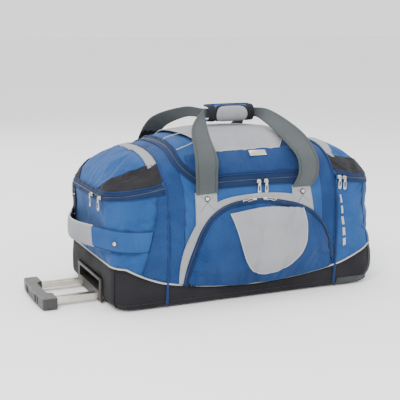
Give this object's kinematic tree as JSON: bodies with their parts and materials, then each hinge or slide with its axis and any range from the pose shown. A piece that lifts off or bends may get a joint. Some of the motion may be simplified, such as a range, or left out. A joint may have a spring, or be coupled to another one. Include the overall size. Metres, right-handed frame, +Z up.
{
  "type": "rolling duffel bag",
  "caption": "Wheeled travel duffel with zipped lid, end pockets, front pocket, webbing carry handles and a telescoping trolley handle.",
  "frame": {"origin": "middle of the bounding box, on the floor that the bag stands on", "axes": "+X from the trolley handle end to the wheel end, -Y towards the front pocket, +Z up"},
  "size_m": [0.8086, 0.4064, 0.425],
  "materials": {
    "blue_fabric": "satin woven polyester",
    "black_fabric": "matt woven polyester",
    "grey_fabric": "satin woven polyester",
    "webbing": "ribbed webbing",
    "dark_plastic": "satin moulded",
    "slate_plastic": "fine texture",
    "alloy": "champagne anodised",
    "nickel": "polished nickel",
    "tyre_rubber": "matt",
    "board": "matt board"
  },
  "bodies": {
    "bag": {"base_tray": "black_fabric", "floor_board": "board", "front_panel": "blue_fabric", "back_panel": "blue_fabric", "left_gusset": "blue_fabric", "right_gusset": "blue_fabric", "left_divider": "black_fabric", "left_pocket_wall": "blue_fabric", "right_divider": "black_fabric", "right_pocket_wall": "blue_fabric", "front_pocket": "blue_fabric", "handle_bezel": "dark_plastic", "front_channel": "alloy", "back_channel": "alloy", "channel_bracket": "slate_plastic", "grab_handle": "grey_fabric", "front_axle": "nickel", "front_wheel_housing": "slate_plastic", "front_corner_guard": "slate_plastic", "front_foot": "slate_plastic", "front_left_strap_rivet": "nickel", "front_right_strap_rivet": "nickel", "back_axle": "nickel", "back_wheel_housing": "slate_plastic", "back_corner_guard": "slate_plastic", "back_foot": "slate_plastic", "back_left_strap_rivet": "nickel", "back_right_strap_rivet": "nickel", "lid_left_slider": "nickel", "lid_right_slider": "nickel", "left_front_slider": "nickel", "left_end_slider": "nickel", "right_near_slider": "nickel", "right_far_slider": "nickel"},
    "trolley": {"front_trolley_tube": "alloy", "back_trolley_tube": "alloy", "trolley_grip": "dark_plastic"},
    "button": {"release_button": "slate_plastic"},
    "front_wheel": {"front_wheel_tyre": "tyre_rubber", "front_wheel_hub": "slate_plastic", "front_wheel_bearing": "nickel"},
    "back_wheel": {"back_wheel_tyre": "tyre_rubber", "back_wheel_hub": "slate_plastic", "back_wheel_bearing": "nickel"},
    "lid_body": {"lid": "blue_fabric", "label_plate": "nickel"},
    "front_handle": {"front_strap": "webbing", "wrap_grip": "blue_fabric"},
    "back_handle": {"back_strap": "webbing"},
    "left_flap": {"left_pocket_flap": "blue_fabric"},
    "right_flap": {"right_pocket_flap": "blue_fabric"},
    "lid_left_tab": {"lid_left_pull": "nickel"},
    "lid_right_tab": {"lid_right_pull": "nickel"},
    "left_front_tab": {"left_front_pull": "nickel"},
    "left_end_tab": {"left_end_pull": "nickel"},
    "right_near_tab": {"right_near_pull": "nickel"},
    "right_far_tab": {"right_far_pull": "nickel"}
  },
  "joints": [
    {"name": "trolley_slide", "type": "slide", "parent": "bag", "child": "trolley", "axis": [-1, 0, 0], "range_m": [-0.098, 0.27]},
    {"name": "release_press", "type": "slide", "parent": "trolley", "child": "button", "axis": [1, 0, 0], "range_m": [0, 0.0035], "stiffness_N_per_m": 300},
    {"name": "front_wheel_spin", "type": "hinge", "parent": "bag", "child": "front_wheel", "pos_m": [0.35374, -0.14408, 0.04], "axis": [0, 1, 0], "continuous": true},
    {"name": "back_wheel_spin", "type": "hinge", "parent": "bag", "child": "back_wheel", "pos_m": [0.35374, 0.15592, 0.04], "axis": [0, 1, 0], "continuous": true},
    {"name": "lid_open", "type": "hinge", "parent": "bag", "child": "lid_body", "pos_m": [0.06774, 0.13292, 0.341], "axis": [-1, 0, 0], "range_deg": [0, 95]},
    {"name": "front_handle_swing", "type": "hinge", "parent": "bag", "child": "front_handle", "pos_m": [0.06774, -0.18408, 0.252], "axis": [1, 0, 0], "range_deg": [0, 142.5]},
    {"name": "back_handle_swing", "type": "hinge", "parent": "bag", "child": "back_handle", "pos_m": [0.06774, 0.19592, 0.252], "axis": [-1, 0, 0], "range_deg": [0, 95]},
    {"name": "left_flap_open", "type": "hinge", "parent": "bag", "child": "left_flap", "pos_m": [-0.14426, 0.00592, 0.339], "axis": [0, 1, 0], "range_deg": [0, 40]},
    {"name": "right_flap_open", "type": "hinge", "parent": "bag", "child": "right_flap", "pos_m": [0.27974, 0.00592, 0.339], "axis": [0, -1, 0], "range_deg": [0, 40]},
    {"name": "lid_left_pull_swing", "type": "hinge", "parent": "bag", "child": "lid_left_tab", "pos_m": [0.07674, -0.18368, 0.273], "axis": [-1, 0, 0], "range_deg": [0, 110]},
    {"name": "lid_right_pull_swing", "type": "hinge", "parent": "bag", "child": "lid_right_tab", "pos_m": [0.09474, -0.18368, 0.273], "axis": [-1, 0, 0], "range_deg": [0, 110]},
    {"name": "left_front_pull_swing", "type": "hinge", "parent": "bag", "child": "left_front_tab", "pos_m": [-0.27564, -0.10647, 0.2481], "axis": [-0.1916, 0.9815, 0], "range_deg": [0, 110]},
    {"name": "left_end_pull_swing", "type": "hinge", "parent": "bag", "child": "left_end_tab", "pos_m": [-0.27787, -0.05237, 0.24774], "axis": [0, 1, 0], "range_deg": [0, 110]},
    {"name": "right_near_pull_swing", "type": "hinge", "parent": "bag", "child": "right_near_tab", "pos_m": [0.2857, -0.18536, 0.26892], "axis": [-0.9996, 0.0267, 0], "range_deg": [0, 110]},
    {"name": "right_far_pull_swing", "type": "hinge", "parent": "bag", "child": "right_far_tab", "pos_m": [0.29866, -0.1857, 0.26664], "axis": [-0.9997, 0.026, 0], "range_deg": [0, 110]}
  ],
  "couplings": [
    {"joint": "front_handle_swing", "follows": "lid_open", "ratio": 1.5},
    {"joint": "back_handle_swing", "follows": "lid_open", "ratio": 1}
  ]
}
